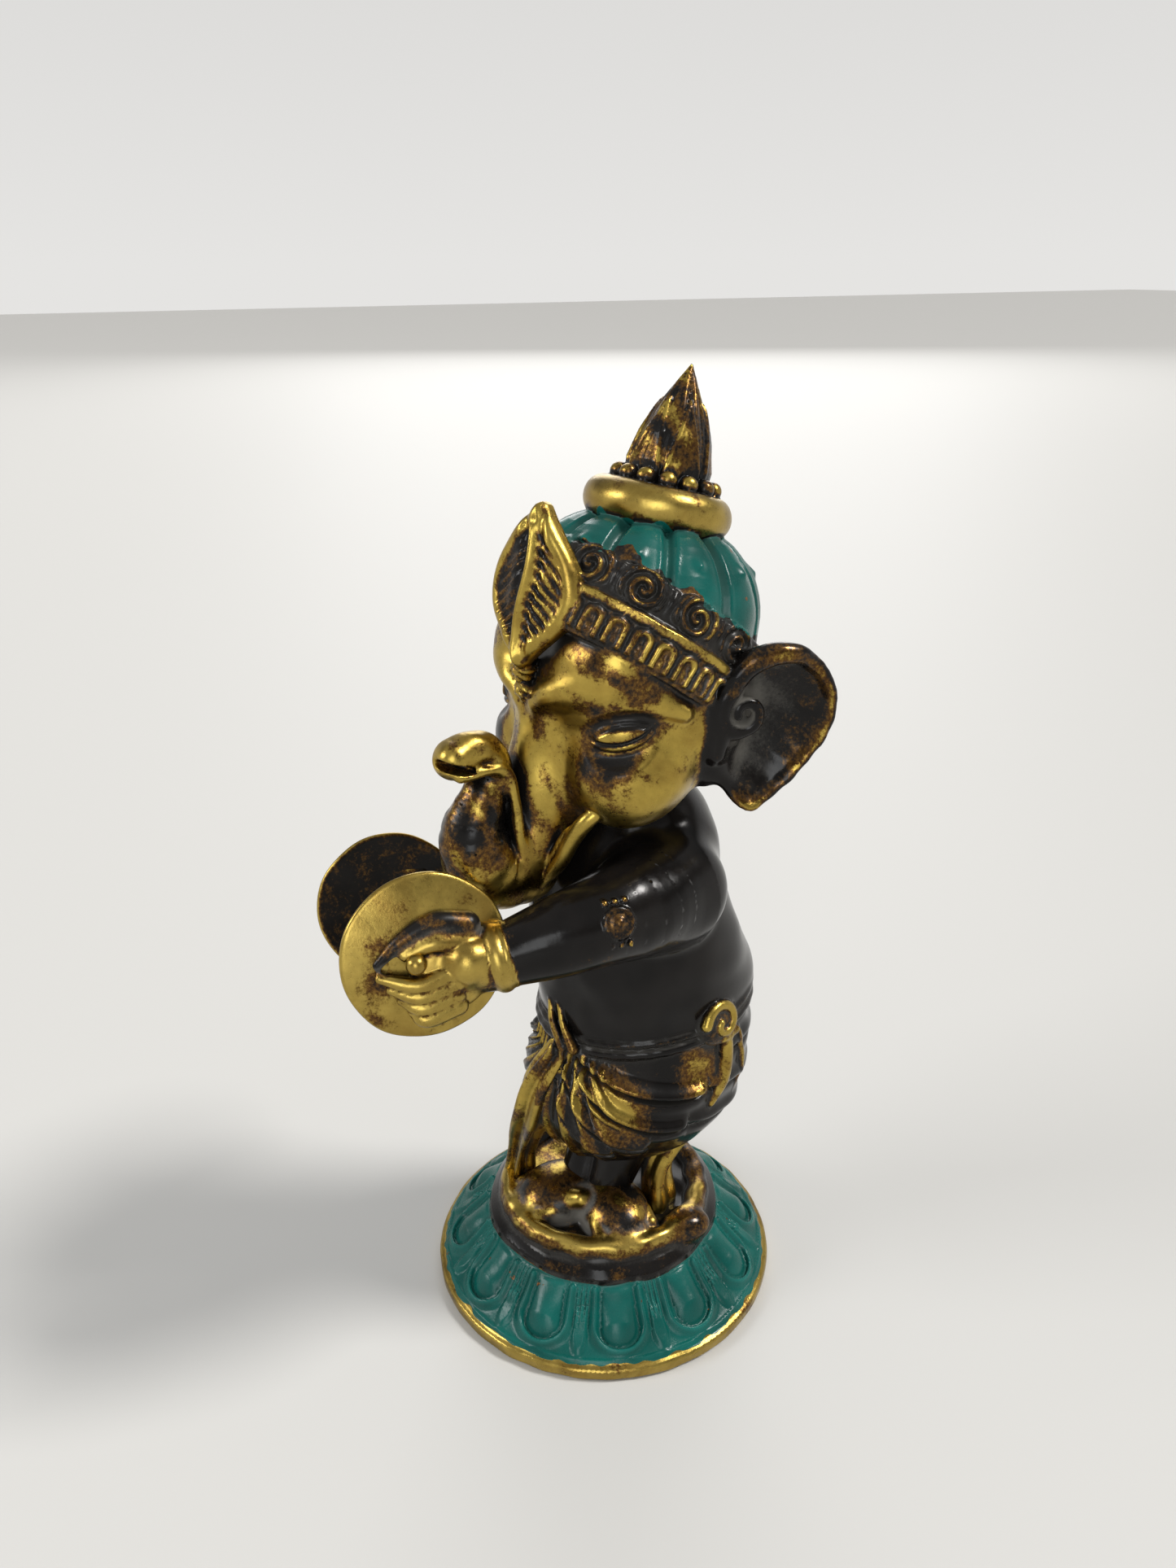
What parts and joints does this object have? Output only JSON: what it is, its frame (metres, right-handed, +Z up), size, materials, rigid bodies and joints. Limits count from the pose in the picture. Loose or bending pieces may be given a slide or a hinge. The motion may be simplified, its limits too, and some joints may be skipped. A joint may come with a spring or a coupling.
{
  "type": "elephant-headed deity statue",
  "caption": "Cast metal figure of an elephant-headed temple musician in a tall crown, holding a pair of hand cymbals, on a round lotus base.",
  "frame": {"origin": "centre of the flat underside of the round base", "axes": "+Z up; the figure faces -Y; the figure's left hand is on +X"},
  "size_m": [0.072, 0.0894, 0.1853],
  "materials": {
    "brass": "worn satin",
    "aged_brass": "aged, dark in the hollows and bright on the high spots",
    "dark_bronze": "glossy black-brown patina",
    "teal_paint": "semi-gloss, chipped at the edges"
  },
  "bodies": {
    "root": {"rivet_right": "brass", "rivet_left": "brass", "cymbal_right": "brass", "cymbal_left": "brass", "bracelet_right": "brass", "bracelet_left": "brass", "armlet_right": "aged_brass", "armlet_left": "aged_brass", "hand_right": "brass", "hand_left": "brass", "leaf_ornament": "aged_brass", "brow_braid": "aged_brass", "finial": "aged_brass", "bead_collar": "aged_brass", "crown_ring": "brass", "crown_dome": "teal_paint", "headband": "aged_brass", "trunk": "aged_brass", "ear_right": "dark_bronze", "ear_left": "dark_bronze", "head": "aged_brass", "arm_right": "dark_bronze", "arm_left": "dark_bronze", "sash_knot": "aged_brass", "waist_belt": "dark_bronze", "front_pleat": "aged_brass", "back_tail": "aged_brass", "torso": "dark_bronze", "leg_right": "dark_bronze", "leg_left": "dark_bronze", "dhoti": "dark_bronze", "foot_right": "aged_brass", "foot_left": "aged_brass", "mound_lip": "brass", "mound": "dark_bronze", "lotus_band": "teal_paint", "base_shell": "brass"}
  },
  "joints": []
}
